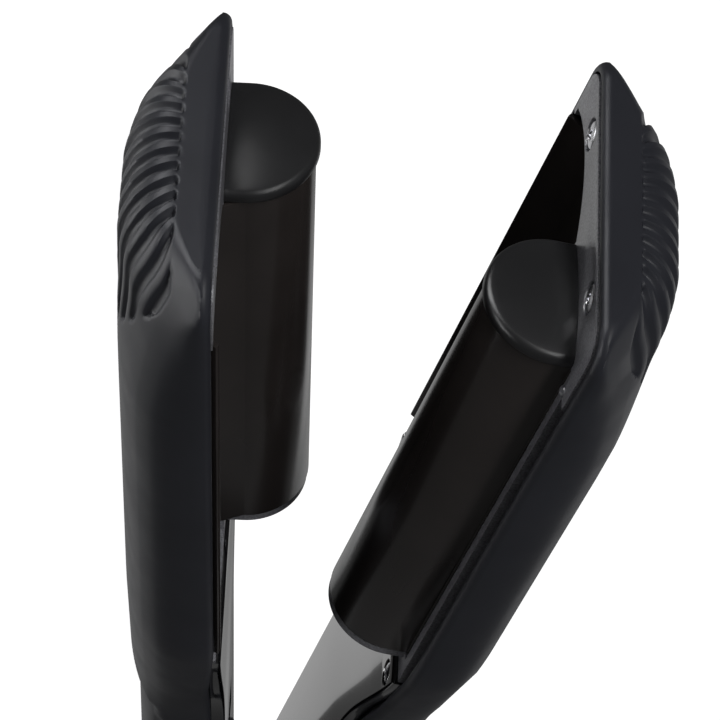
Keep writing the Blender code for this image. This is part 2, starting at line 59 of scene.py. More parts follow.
# driving dimensions, in millimetres
PLATE_LENGTH = (PLATE_HIGH.x - PLATE_LOW.x) / MM
TIP = (SHELL_HIGH.x - PLATE_LOW.x) / MM
HINGE_U = (PIN.x - PLATE_LOW.x) / MM
FACE_HALF_GAP = (PIN.z - FACE_Z) / MM
HEAD_HALF_WIDTH = SHELL_HIGH.y / MM
HEAD_DEPTH = FACE_Z / MM
HANDLE_HALF_WIDTH = 19.5
HANDLE_DEPTH = 17.2
FLARE = (-52.0, 8.0)            # where the handle widens to the head
SHOULDER = (-30.0, -27.0)       # where the handle is thinner than the head
SHOULDER_BOW = 26.0             # how far that step bends back towards the sides
TIP_DEPTH = 8.0
TIP_CORNER = 8.0
TIP_ROUNDING = 16.0
SECTION_POWER = 2.7             # roundness of the shell's cross-section
TIP_POWER = 1.85                # and at the tip
ROUNDER = (45.0, 14.0)          # distances from the tip between which it changes
SECTION_CROWN = 1.035
CORNER_WAY = (0.58, 0.81)       # direction in plan of the slopes at the tip's corners
CORNER_START = 3.1
CORNER_SLOPE = 0.85
CORNER_CURVE = 40.0
CORNER_BLEND = (2.0, 8.0)
CORNER_REACH = 10.0
TIP_WALL = (0.97, 0.94, 0.91, 0.88, 0.84, 0.79, 0.7, 0.5, 0.25, 0.0)
WALL = 2.2
GAP = 0.3
RIM_EDGE = 1.8                  # rounding of the shell's rim outside
INNER_EDGE = 0.25               # and inside
RIM_DROP = 1.7                  # how much lower the rim is along the handle
RIM_SLOPE = (-11.0, 2.0)        # where it drops

GROOVES = 14
GROOVE_PITCH = 4.2
GROOVE_HALF = 1.45
GROOVE_DEPTH = 1.25
GROOVE_START = 7.2              # below the inner face
GROOVE_SIDE_END = 9.0           # back from the tip at the sides
GROOVE_MIDDLE_END = 40.0        # and in the middle

BARREL_RADIUS = 12.7
BARREL_RISE = 3.9
BARREL_V = -13.9
CHANNEL_V = 13.9
CHANNEL_RADIUS = 13.9
CHANNEL_AXIS = 2 * FACE_HALF_GAP - BARREL_RISE
PLATE_THICKNESS = 1.2
PLATE_BARREL_EDGE = -27.6
CHANNEL_TURN = 0.65             # where the channel's outer side starts to slope out, in radians
CHANNEL_LIP = ((29.6, -1.4), (31.0, 0.2), (31.6, 1.1))
CAP_RADIUS = 13.5
CAP_RIM = 1.2
CAP_ROUND = 1.2
CAP_DOME = 1.6
FRAME_THICKNESS = 3.0
FRAME_BACK = -5.4
FRAME_PROUD = 0.25
LEDGE_GAP = 0.4                 # between the frame and the shell's wall below it
RAIL_OUTER = -30.3
PAD_FOOT = 99.0
PAD_ARC_HALF = 15.75
PAD_ARC_END = 2.4
PAD_ARC_DEEP = 6.8
CHANNEL_END_WALL = -3.6
SKIRT_MARGIN = 0.6              # how far the arc skirt reaches below the channel
SKIRT_LEAST = 2.5
SCREW_TIP_U = 10.2
SCREW_TIP_V = (-18.4, 19.2)
COVER_PROUD = 1.2
COVER_FRONT = FRAME_BACK - GAP
COVER_BACK = HINGE_U + 9.9
COVER_EDGE = 0.9
COVER_THICKNESS = 2.0
COVER_SCREW = (-11.0, -25.0)
SCREW_HOLE = 1.65
TIP_POCKET = 3.1                # pockets of the screws' heads, and the levels of their floors
TIP_SEAT = -1.3
COVER_POCKET = 2.7
COVER_SEAT = -1.1
POCKET_EDGE = 0.25
TIP_SCREW_SUNK = {"lower_": -0.4, "upper_": 0.0}

BUTTON_RADIUS = 3.9
BUTTON_PROUD = 0.8
BUTTON_FLANGE = 4.6
BUTTON_EDGE = 0.45
BUTTON_DISH = 0.35
BUTTON_U = {"power_button": -85.5, "plus_button": -95.2, "minus_button": -104.9}
WINDOW_U = (-80.0, -70.0)
WINDOW_HALF_WIDTH = 6.0

REAR = {"lower_": ((REAR_X - PLATE_LOW.x) / MM, 7.0, 14.6, 15.0),
        "upper_": (HINGE_U + 2.0, 20.0, 4.8, 19.0)}
PIN_HOLE = 2.35
CHEEK_RADIUS = 9.5
CHEEK_INNER = 15.4
CHEEK_OUTER = 19.2
DRUM_RADIUS = 8.2
DRUM_BORE = 6.2
DRUM_HALF_WIDTH = 15.0
DRUM_END_WALL = 3.0
SWIVEL_LEVEL = -8.2
SWIVEL_RADIUS = 5.0
SWIVEL_FLANGE = 5.9
SWIVEL_HOLE = 3.1
SWIVEL_LENGTH = 10.0
SWIVEL_RIBS = 4

# camera, in millimetres and degrees
CAMERA_TARGET = Vector((70.25, -1.87, 44.86))
CAMERA_AZIMUTH = 35.55
CAMERA_ELEVATION = 0.22
CAMERA_ROLL = 2.66
CAMERA_DISTANCE = 819.0
CAMERA_LENS = 213.4


# ---------------------------------------------------------------- frames

def lower_frame():
    """Arm frame of the lower arm, in metres."""
    return Matrix.Translation((PLATE_LOW.x, 0, FACE_Z)) @ Matrix.Scale(MM, 4)


def upper_frame():
    """Arm frame of the upper arm: the lower arm's, turned over and opened about the hinge."""
    hinge = Matrix.Translation((HINGE_U, 0, FACE_HALF_GAP))
    swing = hinge @ Matrix.Rotation(-radians(OPEN_ANGLE), 4, "Y") @ hinge.inverted()
    turn = Matrix.Translation((0, 0, 2 * FACE_HALF_GAP)) @ Matrix.Rotation(pi, 4, "X")
    return lower_frame() @ swing @ turn


# ---------------------------------------------------------------- materials

def node_material(name, colour, roughness, metallic=0.0, vary=0.25, vary_scale=60.0, rough_vary=0.08,
                  bumps=(), sockets=None):
    """Procedural material: mottled colour and roughness, and bumps of (scale, strength, distance)."""
    made = bpy.data.materials.new(name)
    made.use_nodes = True
    made.diffuse_color = (*colour, 1)
    tree = made.node_tree
    shader = tree.nodes["Principled BSDF"]
    shader.inputs["Metallic"].default_value = metallic
    for socket, value in (sockets or {}).items():
        shader.inputs[socket].default_value = value
    place = tree.nodes.new("ShaderNodeTexCoord")

    def noise(scale, detail=4.0):
        """Noise in the piece's own coordinates."""
        found = tree.nodes.new("ShaderNodeTexNoise")
        found.inputs["Scale"].default_value = scale
        found.inputs["Detail"].default_value = detail
        tree.links.new(place.outputs["Object"], found.inputs["Vector"])
        return found

    mottle = noise(vary_scale)
    ramp = tree.nodes.new("ShaderNodeValToRGB")
    ramp.color_ramp.elements[0].position = 0.3
    ramp.color_ramp.elements[1].position = 0.7
    ramp.color_ramp.elements[0].color = (*[c * (1 - vary) for c in colour], 1)
    ramp.color_ramp.elements[1].color = (*[min(c * (1 + vary), 1) for c in colour], 1)
    tree.links.new(mottle.outputs["Fac"], ramp.inputs["Fac"])
    tree.links.new(ramp.outputs["Color"], shader.inputs["Base Color"])
    spread = tree.nodes.new("ShaderNodeMapRange")
    spread.inputs["To Min"].default_value = max(roughness - rough_vary, 0.02)
    spread.inputs["To Max"].default_value = min(roughness + rough_vary, 1.0)
    tree.links.new(noise(vary_scale * 3).outputs["Fac"], spread.inputs["Value"])
    tree.links.new(spread.outputs["Result"], shader.inputs["Roughness"])
    normal = None
    for scale, strength, distance in bumps:
        bump = tree.nodes.new("ShaderNodeBump")
        bump.inputs["Strength"].default_value = strength
        bump.inputs["Distance"].default_value = distance * MM
        tree.links.new(noise(scale, 2.0).outputs["Fac"], bump.inputs["Height"])
        if normal:
            tree.links.new(normal, bump.inputs["Normal"])
        normal = bump.outputs["Normal"]
    if normal:
        tree.links.new(normal, shader.inputs["Normal"])
    return made


MATERIALS = {
    "soft_touch_black": node_material(
        "soft_touch", (0.030, 0.0315, 0.040), 0.47, vary=0.10, vary_scale=45,
        bumps=((9000, 0.10, 0.02),), sockets={"Specular IOR Level": 0.38}),
    "textured_black": node_material(
        "spark_plastic", (0.20, 0.20, 0.22), 0.32, vary=0.55, vary_scale=2500,
        bumps=((2200, 0.80, 0.09),), sockets={"Specular IOR Level": 0.8}),
    "ceramic_black": node_material(
        "ceramic_coat", (0.036, 0.0305, 0.0290), 0.20, vary=0.15, vary_scale=35, rough_vary=0.02,
        bumps=((260, 0.04, 0.02),), sockets={"Specular IOR Level": 0.40}),
    "cap_black": node_material(
        "cap_plastic", (0.023, 0.023, 0.0245), 0.38, vary=0.12, vary_scale=70,
        bumps=((7000, 0.12, 0.02),), sockets={"Specular IOR Level": 0.40}),
    "gloss_black": node_material(
        "gloss_plastic", (0.008, 0.008, 0.009), 0.09, vary=0.10, vary_scale=40, rough_vary=0.02,
        bumps=((150, 0.03, 0.02),), sockets={"Specular IOR Level": 0.8, "Coat Weight": 0.5}),
    "display_glass": node_material(
        "display_glass", (0.004, 0.004, 0.006), 0.04, vary=0.10, vary_scale=50, rough_vary=0.01,
        sockets={"Coat Weight": 0.6, "Coat Roughness": 0.02}),
    "steel": node_material(
        "steel", (0.62, 0.62, 0.64), 0.24, metallic=1.0, vary=0.08, vary_scale=900,
        bumps=((1800, 0.10, 0.02),)),
    "spring_steel": node_material(
        "spring_steel", (0.42, 0.42, 0.44), 0.33, metallic=1.0, vary=0.12, vary_scale=700,
        bumps=((1500, 0.10, 0.02),)),
    "button_grey": node_material(
        "button_grey", (0.09, 0.09, 0.10), 0.40, vary=0.10, vary_scale=200,
        bumps=((6000, 0.10, 0.02),)),
    "board_green": node_material(
        "board_green", (0.02, 0.11, 0.045), 0.42, vary=0.30, vary_scale=220,
        bumps=((900, 0.25, 0.03),)),
    "heater_white": node_material(
        "heater_ceramic", (0.68, 0.66, 0.60), 0.55, vary=0.06, vary_scale=160,
        bumps=((2200, 0.30, 0.04),)),
}


# ---------------------------------------------------------------- mesh helpers

def finish_mesh(name, bm, place, sharp=32):
    """Object from arm-frame geometry, shaded smooth but for its sharp edges."""
    bmesh.ops.recalc_face_normals(bm, faces=bm.faces)
    bmesh.ops.transform(bm, matrix=place, verts=bm.verts)
    mesh = bpy.data.meshes.new(name)
    bm.to_mesh(mesh)
    bm.free()
    mesh.shade_smooth()
    mesh.set_sharp_from_angle(angle=radians(sharp))
    made = bpy.data.objects.new(name, mesh)
    bpy.context.collection.objects.link(made)
    return made


def settle(obj):
    """Apply obj's modifiers to its mesh."""
    found = obj.evaluated_get(bpy.context.evaluated_depsgraph_get())
    mesh = bpy.data.meshes.new_from_object(found)
    obj.modifiers.clear()
    obj.data = mesh


def cut(target, bm, place, operation="DIFFERENCE"):
    """Boolean target with arm-frame geometry."""
    tool = finish_mesh("tool", bm, place)
    step = target.modifiers.new("step", "BOOLEAN")
    step.operation = operation
    step.solver = "EXACT"
    step.object = tool
    settle(target)
    bpy.data.objects.remove(tool, do_unlink=True)


def soften(obj, width, segments=3, angle=35):
    """Round obj's sharp edges by width millimetres."""
    step = obj.modifiers.new("soften", "BEVEL")
    step.width = width * MM
    step.segments = segments
    step.limit_method = "ANGLE"
    step.angle_limit = radians(angle)
    step.use_clamp_overlap = True
    step.harden_normals = False


def smooth(obj, sharp=32):
    """Shade obj smooth but for its sharp edges."""
    obj.data.shade_smooth()
    obj.data.set_sharp_from_angle(angle=radians(sharp))


def place_piece(obj, body, slot, *nodes):
    """Give obj its body and its finish, and hide the CAD nodes it stands for."""
    obj.data.materials.clear()
    obj.data.materials.append(MATERIALS[slot])
    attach(obj, body)
    if nodes:
        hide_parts(*nodes)
    return obj


def loft(rings):
    """Closed solid through rings of equal length."""
    bm = bmesh.new()
    loops = [[bm.verts.new(point) for point in ring] for ring in rings]
    count = len(loops[0])
    for lower, upper in zip(loops, loops[1:]):
        for i in range(count):
            j = (i + 1) % count
            bm.faces.new((lower[i], lower[j], upper[j], upper[i]))
    bm.faces.new(loops[0])
    bm.faces.new(reversed(loops[-1]))
    return bm


def slab(outline, low, high):
    """Plan outline of (u, v) points between two levels of n."""
    return loft([[(u, v, n) for u, v in outline] for n in (low, high)])


def block(u, v, n):
    """Box from three (low, high) pairs."""
    return slab([(u[0], v[0]), (u[1], v[0]), (u[1], v[1]), (u[0], v[1])], *n)


def turned(profile, centre, axis, sides=64):
    """Solid of revolution: (radius, distance) points along a U, V or N axis through centre."""
    rings = []
    for radius, along in profile:
        ring = []
        for k in range(sides):
            a = 2 * pi * k / sides
            p, q = radius * cos(a), radius * sin(a)
            offset = {"U": (along, p, q), "V": (p, along, q), "N": (p, q, along)}[axis]
            ring.append([c + o for c, o in zip(centre, offset)])
        rings.append(ring)
    return loft(rings)


def arc(centre, radius, start, end, steps):
    """Points of a circular arc in a plane, angles in radians."""
    return [(centre[0] + radius * cos(start + (end - start) * k / steps),
             centre[1] + radius * sin(start + (end - start) * k / steps)) for k in range(steps + 1)]


def smoothstep(low, high, value):
    """Ease from 0 at low to 1 at high."""
    t = min(max((value - low) / (high - low), 0.0), 1.0)
    return t * t * (3 - 2 * t)


# ---------------------------------------------------------------- the shells

def rounding(distance, length):
    """Share of the full size at a distance from a rounded end: 0 at the end, 1 beyond length."""
    t = 1 - min(max(distance / length, 0.0), 1.0)
    return sqrt(1 - t * t)


def half_width(u, arm, inset=0.0):
    """Half the outline's width at u, moved in from the shell's outside by inset."""
    width = HANDLE_HALF_WIDTH + (HEAD_HALF_WIDTH - HANDLE_HALF_WIDTH) * smoothstep(*FLARE, u)
    corner = TIP_CORNER - inset
    width -= inset + corner * (1 - rounding(TIP - inset - u, corner))
    place, length, _, rear_width = REAR[arm]
    return width - (HANDLE_HALF_WIDTH - rear_width) * (1 - rounding(u - place - inset, length))


def rim_level(u):
    """Level of the shell's rim at u: lower along the handle than round the head."""
    return -RIM_DROP * (1 - smoothstep(*RIM_SLOPE, u))


def depth(u, arm, inset=0.0, share=0.0):
    """Depth of the shell behind its inner face at u, and at a share of its half width."""
    step = u + SHOULDER_BOW * share * share
    full = HANDLE_DEPTH + (HEAD_DEPTH - HANDLE_DEPTH) * smoothstep(*SHOULDER, step)
    full -= (HEAD_DEPTH - TIP_DEPTH) * (1 - rounding(TIP - inset - u, TIP_ROUNDING))
    place, length, rear_depth, _ = REAR[arm]
    return full - inset - (HANDLE_DEPTH - rear_depth) * (1 - rounding(u - place - inset, length))


def section_fall(u, share):
    """Share of the full depth at a share of the half width, for the section at u."""
    start, end = (TIP - distance for distance in ROUNDER)
    power = SECTION_POWER - (SECTION_POWER - TIP_POWER) * smoothstep(start, end, u)
    return min(1.0, SECTION_CROWN * (1 - min(abs(share), 1.0) ** power) ** (1 / power))


def cut_corner(u, v, n, lift):
    """Level n at (u, v), raised where a slope lifted by lift cuts the tip's corners."""
    along, across = CORNER_WAY
    inward = max(along * (TIP - u) + across * (HEAD_HALF_WIDTH - abs(v)) - CORNER_START, 0.0)
    slope = lift - RIM_EDGE - CORNER_SLOPE * inward * (1 + inward / CORNER_CURVE)
    low, high = CORNER_BLEND
    width = low + (high - low) * smoothstep(0.0, CORNER_REACH, inward)
    blend = max(width - abs(n - slope), 0.0)
    return max(n, slope) + blend * blend / (4 * width)


def shell_columns():
    """Places across the head, as shares of its half width, lined up with the grooves' sides."""
    side = [(1 - f ** SECTION_POWER) ** (1 / SECTION_POWER) * HEAD_HALF_WIDTH
            for f in (0.0, 0.1, 0.2, 0.3, 0.4, 0.5, 0.58)]
    places = set(side) | {-v for v in side}
    for g in range(GROOVES):
        centre = (g - (GROOVES - 1) / 2) * GROOVE_PITCH
        places |= {centre + GROOVE_HALF * f for f in (-1, -0.8, -0.55, -0.25, 0.25, 0.55, 0.8, 1)}
        places.add(centre + GROOVE_PITCH / 2)
    kept = []
    for v in sorted(places):
        if not kept or v - kept[-1] > 0.08:
            kept.append(v)
    return [v / HEAD_HALF_WIDTH for v in kept]


def shell_stations(arm):
    """Places along the shell, closer together where its outline turns."""
    place, length, _, _ = REAR[arm]
    turns = [1 - cos(pi / 2 * k / 10) for k in range(11)]
    places = [place + length * f for f in turns]
    places += [SHOULDER[0] - SHOULDER_BOW + 0.75 * k for k in range(39)]
    places += [3.0 * k for k in range(9)]
    places += [TIP - GROOVE_MIDDLE_END + 0.9 * k for k in range(27)]
    fine = 48
    places += [TIP - TIP_ROUNDING * (1 - cos(pi / 2 * k / fine)) for k in range(fine + 1)]
    places += [TIP - TIP_CORNER * (1 - cos(pi / 2 * k / 12)) for k in range(1, 13)]
    places += [-90, -75, -64, 35, 48, 60, 72]
    kept = []
    for u in sorted(places):
        if not kept or u - kept[-1] > 0.02:
            kept.append(u)
    return kept


def groove_share(v):
    """How deep the grooves are at v across the head, from 0 to 1."""
    nearest = round(v / GROOVE_PITCH + (GROOVES - 1) / 2)
    nearest = min(max(nearest, 0), GROOVES - 1)
    away = abs(v - (nearest - (GROOVES - 1) / 2) * GROOVE_PITCH) / GROOVE_HALF
    return 1 - smoothstep(0.35, 1.0, away)


def shell_grid(arm, inset, edge):
    """Grid of points over the shell's outside (or inside, at an inset), rows along the arm.

    The last rows climb the flat wall at the tip and share their end points.
    """
    start = REAR[arm][0]
    stretch = (TIP - start - 2 * inset) / (TIP - start)
    columns = shell_columns()
    grid = []
    for station in shell_stations(arm):
        u = start + inset + (station - start) * stretch
        wide, top = half_width(u, arm, inset), rim_level(u) - edge
        row = []
        for s in columns:
            n = top - (depth(u, arm, inset, s) + top) * section_fall(station, s)
            if abs(s) < 1:
                n = cut_corner(u, s * wide, n, inset / 2)
                n = min(n, -FRAME_THICKNESS - LEDGE_GAP) if inset else min(n, top)
            row.append(Vector((u, s * wide, n)))
        grid.append(row)
    foot = grid[-1]
    for share in TIP_WALL:
        grid.append([Vector((p.x, p.y, foot[0].z + (p.z - foot[0].z) * share)) for p in foot])
    return columns, grid


def dig_grooves(columns, grid):
    """Sink the finger grooves into the tip's rounding."""
    for r, row in enumerate(grid):
        for k in range(1, len(columns) - 1):
            point = row[k]
            share = groove_share(columns[k] * HEAD_HALF_WIDTH)
            share *= smoothstep(GROOVE_START, GROOVE_START + 0.9, -point.z)
            reach = GROOVE_MIDDLE_END - GROOVE_SIDE_END
            end = TIP - GROOVE_SIDE_END - reach * max(0.0, 1 - (columns[k] / 0.85) ** 2)
            share *= smoothstep(end - 1.0, end + 1.0, point.x)
            if share > 0.001:
                inward = Vector((TIP - GROOVE_MIDDLE_END, point.y * 0.75, 0)) - point
                grid[r][k] = point + inward.normalized() * share * GROOVE_DEPTH


def bowl(bm, grid):
    """Faces over a grid and the wall at its rear; returns the loop of verts round its rim."""
    rear = [[Vector((p.x, p.y, grid[0][0].z + (p.z - grid[0][0].z) * share)) for p in grid[0]]
            for share in (0.0, 0.25, 0.5, 0.75)]
    strips, sides = [], []
    for points in rear + grid:
        if strips and points[0] == strips[-1][0].co:
            first, last = strips[-1][0], strips[-1][-1]
        else:
            first, last = bm.verts.new(points[0]), bm.verts.new(points[-1])
            sides.append((first, last))
        strips.append([first] + [bm.verts.new(point) for point in points[1:-1]] + [last])
    for lower, upper in zip(strips, strips[1:]):
        for k in range(len(lower) - 1):
            corners = []
            for vert in (lower[k], lower[k + 1], upper[k + 1], upper[k]):
                if vert not in corners:
                    corners.append(vert)
            if len(corners) > 2:
                bm.faces.new(corners)
    rim = [pair[0] for pair in sides] + strips[-1][1:-1]
    return rim + [pair[1] for pair in sides[::-1]] + strips[0][1:-1][::-1]


def rim_loop(bm, arm, inset, n):
    """Loop of verts round the shell's rim at an inset and a level, matching a bowl's rim."""
    start = REAR[arm][0]
    columns = shell_columns()
    places = shell_stations(arm)
    stretch = (TIP - start - 2 * inset) / (TIP - start)
    us = [start + inset + (u - start) * stretch for u in places]
    sides = [(u, half_width(u, arm, inset), n + rim_level(u)) for u in us]
    points = [(u, -w, level) for u, w, level in sides]
    points += [(us[-1], s * sides[-1][1], sides[-1][2]) for s in columns[1:-1]]
    points += sides[::-1]
    points += [(us[0], s * sides[0][1], sides[0][2]) for s in columns[1:-1][::-1]]
    return [bm.verts.new(point) for point in points]


def make_shell(arm, place):
    """Outer shell with its finger grooves, a rounded rim and a real cavity."""
    bm = bmesh.new()
    columns, outside = shell_grid(arm, 0.0, RIM_EDGE)
    dig_grooves(columns, outside)
    _, inside = shell_grid(arm, WALL, INNER_EDGE)
    loops = [bowl(bm, outside)]
    for k in range(1, 7):
        turn = pi / 2 * k / 6
        loops.append(rim_loop(bm, arm, RIM_EDGE * (1 - cos(turn)), -RIM_EDGE * (1 - sin(turn))))
    loops.append(rim_loop(bm, arm, WALL - INNER_EDGE / 2, -INNER_EDGE / 3))
    loops.append(bowl(bm, inside))
    for a, b in zip(loops, loops[1:]):
        for i in range(len(a)):
            j = (i + 1) % len(a)
            bm.faces.new((a[i], a[j], b[j], b[i]))
    bmesh.ops.dissolve_degenerate(bm, dist=1e-4, edges=bm.edges)
    return finish_mesh(f"{arm}shell_skin", bm, place, 50)


def make_lower_shell(place):
    """Lower shell with the hinge's cheeks and the swivel's hole."""
    shell = make_shell("lower_", place)
    axis = (HINGE_U, 0, FACE_HALF_GAP)
    for side in (-1, 1):
        ends = (CHEEK_INNER, CHEEK_INNER + 0.3, CHEEK_OUTER - 0.6, CHEEK_OUTER)
        radii = (CHEEK_RADIUS - 0.3, CHEEK_RADIUS, CHEEK_RADIUS, CHEEK_RADIUS - 0.6)
        cheek = turned([(r, side * v) for r, v in zip(radii, ends)], axis, "V", 72)
        cut(shell, cheek, place, "UNION")
    cut(shell, turned([(PIN_HOLE, -30), (PIN_HOLE, 30)], axis, "V", 32), place)
    mouth = (REAR["lower_"][0], 0, SWIVEL_LEVEL)
    cut(shell, turned([(SWIVEL_RADIUS + GAP, -5), (SWIVEL_RADIUS + GAP, 5)], mouth, "U", 48), place)
    smooth(shell, 40)
    return place_piece(shell, "lower_arm", "soft_touch_black", "lower_shell")


def make_upper_shell(place):
    """Upper shell: its rear runs down to a drum that turns between the lower shell's cheeks."""
    shell = make_shell("upper_", place)
    axis = (HINGE_U, 0, FACE_HALF_GAP)
    half = DRUM_HALF_WIDTH
    drum = [(DRUM_RADIUS - 0.4, -half), (DRUM_RADIUS, 0.4 - half), (DRUM_RADIUS, half - 0.4),
            (DRUM_RADIUS - 0.4, half)]
    cut(shell, turned(drum, axis, "V", 72), place, "UNION")
    for side in (-1, 1):
        ends = sorted((side * (DRUM_HALF_WIDTH + 0.05), side * 30))
        cut(shell, turned([(CHEEK_RADIUS + 0.5, end) for end in ends], axis, "V", 80), place)
    bore = DRUM_HALF_WIDTH - DRUM_END_WALL
    cut(shell, turned([(DRUM_BORE, -bore), (DRUM_BORE, bore)], axis, "V", 48), place)
    cut(shell, block((HINGE_U, HINGE_U + 9), (2 - bore, bore - 2), (0.7, 9.8)), place)
    cut(shell, turned([(PIN_HOLE, -30), (PIN_HOLE, 30)], axis, "V", 32), place)
    smooth(shell, 40)
    return place_piece(shell, "upper_arm", "soft_touch_black", "upper_shell")


# ---------------------------------------------------------------- pieces of each arm

def pad_arc(margin=0.0, steps=32):
    """Arc of the end pad over the channel, as (u, v) points from -v to +v."""
    half = PAD_ARC_HALF + margin
    sagitta = PAD_ARC_DEEP - PAD_ARC_END
    radius = (half ** 2 + sagitta ** 2) / (2 * sagitta)
    middle = PLATE_LENGTH + PAD_ARC_DEEP + margin - radius
    spread = asin(half / radius)
    return arc((middle, PAD_ARC_HALF), radius, -spread, spread, steps)


def frame_outline(inset):
    """Outline of the plate frame inside the shell's rim, as (u, v) points."""
    corner = TIP_CORNER - inset
    places = [TIP - inset - corner * (1 - sin(pi / 2 * k / 12)) for k in range(13)]
    tip = [(u, half_width(u, "lower_", inset)) for u in places]
    head = [(u, half_width(u, "lower_", inset)) for u in (FRAME_BACK, -3.5, -1.5, 0.5, 2.5, 5, 8, 60)]
    return [(FRAME_BACK, RAIL_OUTER), (PAD_FOOT, RAIL_OUTER), (PAD_FOOT, -tip[0][1])] + [
        (u, -v) for u, v in tip] + tip[::-1] + head[::-1]


def make_plate_frame(arm, place):
    """Textured carrier of the heater plate: a rail, an end pad, an arc skirt and end walls."""
    outline = frame_outline(WALL + 0.4)
    carrier = finish_mesh(f"{arm}frame_trim", slab(outline, -FRAME_THICKNESS, FRAME_PROUD), place)
    start, end = -GAP, PLATE_LENGTH + GAP
    edge, outside = PLATE_BARREL_EDGE - GAP, HEAD_HALF_WIDTH + 1
    barrel_side = [(start, 0.3), (end, 0.3), (end, edge), (start, edge)]
    across = CHANNEL_END_WALL + 0.2
    channel_side = [(across, 0.12), (end, 0.12)] + pad_arc()
    channel_side += [(end, 2 * PAD_ARC_HALF), (end, outside), (across, outside)]
    cut(carrier, slab(barrel_side, -FRAME_THICKNESS - 1, 1), place)
    cut(carrier, slab(channel_side, -FRAME_THICKNESS - 1, 1), place)
    for v in SCREW_TIP_V:
        hole, pocket, rim = SCREW_HOLE, TIP_POCKET, TIP_POCKET + POCKET_EDGE
        profile = [(hole, -4), (hole, TIP_SEAT), (pocket, TIP_SEAT), (pocket, 0.0), (rim, 0.3), (rim, 1)]
        cut(carrier, turned(profile, (PLATE_LENGTH + SCREW_TIP_U, v, 0), "N", 48), place)
    bump = [(0.1, 0.95), (0.7, 0.85), (1.1, 0.6), (1.3, 0.1), (1.3, -2.0)]
    foot = (PAD_FOOT + 0.9, (RAIL_OUTER + PLATE_BARREL_EDGE - GAP) / 2 - 0.2, 0)
    cut(carrier, turned(bump, foot, "N", 32), place, "UNION")
    soften(carrier, 0.22, 2, 40)
    settle(carrier)
    skirt = []
    for (u, v), (far_u, far_v) in zip(pad_arc(0.35), pad_arc(1.4)):
        away = min(abs(v - CHANNEL_V), CHANNEL_RADIUS)
        low = CHANNEL_AXIS - sqrt((CHANNEL_RADIUS + PLATE_THICKNESS) ** 2 - away * away)
        low = min(low - SKIRT_MARGIN, -SKIRT_LEAST)
        skirt.append([(u, v, -0.6), (u, v, low), (far_u, far_v, low), (far_u, far_v, -0.6)])
    cut(carrier, loft(skirt), place, "UNION")
    cheek = barrel_outline(BARREL_RADIUS - GAP, -1.0)
    cut(carrier, loft([[(u, v, n) for v, n in cheek] for u in (-2.2, -0.4)]), place, "UNION")
    wall = [(CHANNEL_V + CHANNEL_RADIUS * cos(a) * 0.99, CHANNEL_AXIS + (CHANNEL_RADIUS + 1.0) * sin(a))
            for a in [-pi + 0.3 + (pi - 0.6) * k / 20 for k in range(21)]]
    cut(carrier, loft([[(u, v, n) for v, n in wall] for u in (FRAME_BACK + 0.2, CHANNEL_END_WALL)]),
        place, "UNION")
    smooth(carrier, 30)
    return place_piece(carrier, f"{arm}arm", "textured_black", f"{arm}plate_frame")


def barrel_outline(radius, base, steps=56):
    """Half barrel on straight sides, as (v, n) points."""
    points = [(BARREL_V - radius, base)]
    points += arc((BARREL_V, BARREL_RISE), radius, pi, 0, steps)
    return points + [(BARREL_V + radius, base)]


def plate_path():
    """Middle line of the heater plate's section from -v to +v: flange, barrel, channel, flange."""
    middle = PLATE_THICKNESS / 2
    path = [(PLATE_BARREL_EDGE, -middle), (BARREL_V - BARREL_RADIUS + middle, -middle)]
    path += arc((BARREL_V, BARREL_RISE), BARREL_RADIUS - middle, pi, 0, 72)
    radius = CHANNEL_RADIUS + middle
    start = asin((CHANNEL_AXIS + middle) / radius)
    path += arc((CHANNEL_V, CHANNEL_AXIS), radius, -pi + start, -CHANNEL_TURN, 64)
    return path + list(CHANNEL_LIP)


def make_heater_plate(arm, place):
    """Ceramic-coated plate: a sheet bent into a half barrel beside a channel."""
    path = [Vector(p) for p in plate_path()]
    sides = ([], [])
    for i, point in enumerate(path):
        before, after = path[max(i - 1, 0)], path[min(i + 1, len(path) - 1)]
        entering = (point - before).normalized() if i else (after - point).normalized()
        leaving = (after - point).normalized() if after != point else entering
        tangent = (entering + leaving).normalized()
        reach = PLATE_THICKNESS / 2 / max(tangent.dot(entering), 0.6)
        normal = Vector((-tangent.y, tangent.x)) * reach
        sides[0].append(point + normal)
        sides[1].append(point - normal)
    ring = sides[0] + sides[1][::-1]
    plate = finish_mesh(f"{arm}ceramic_plate", loft([[(u, v, n) for v, n in ring]
                                                     for u in (0, PLATE_LENGTH)]), place)
    soften(plate, 0.25, 2, 60)
    settle(plate)
    smooth(plate, 40)
    return place_piece(plate, f"{arm}arm", "ceramic_black", f"{arm}heater_plate")


def make_barrel_cap(arm, place):
    """Matte cap over the barrel's tip end: a low dome with a rounded rim."""
    start = PLATE_LENGTH + GAP
    profile = [(0.25, 0.0), (0.0, 0.25), (0.0, CAP_RIM * 0.6), (0.0, CAP_RIM)]
    steps = [CAP_ROUND * (1 - cos(pi / 2 * k / 8)) for k in range(1, 9)]
    steps += [CAP_ROUND + (CAP_RADIUS - 0.7 - CAP_ROUND) * k / 12 for k in range(1, 13)]
    for inset in steps:
        rise = CAP_ROUND * sqrt(1 - (1 - min(inset / CAP_ROUND, 1)) ** 2)
        rise += CAP_DOME * (1 - (1 - inset / CAP_RADIUS) ** 2)
        profile.append((inset, CAP_RIM + rise))
    rings = [[(start + along, v, n) for v, n in barrel_outline(CAP_RADIUS - inset, GAP)]
             for inset, along in profile]
    cap = finish_mesh(f"{arm}cap_dome", loft(rings), place, 50)
    return place_piece(cap, f"{arm}arm", "cap_black", f"{arm}barrel_cap")


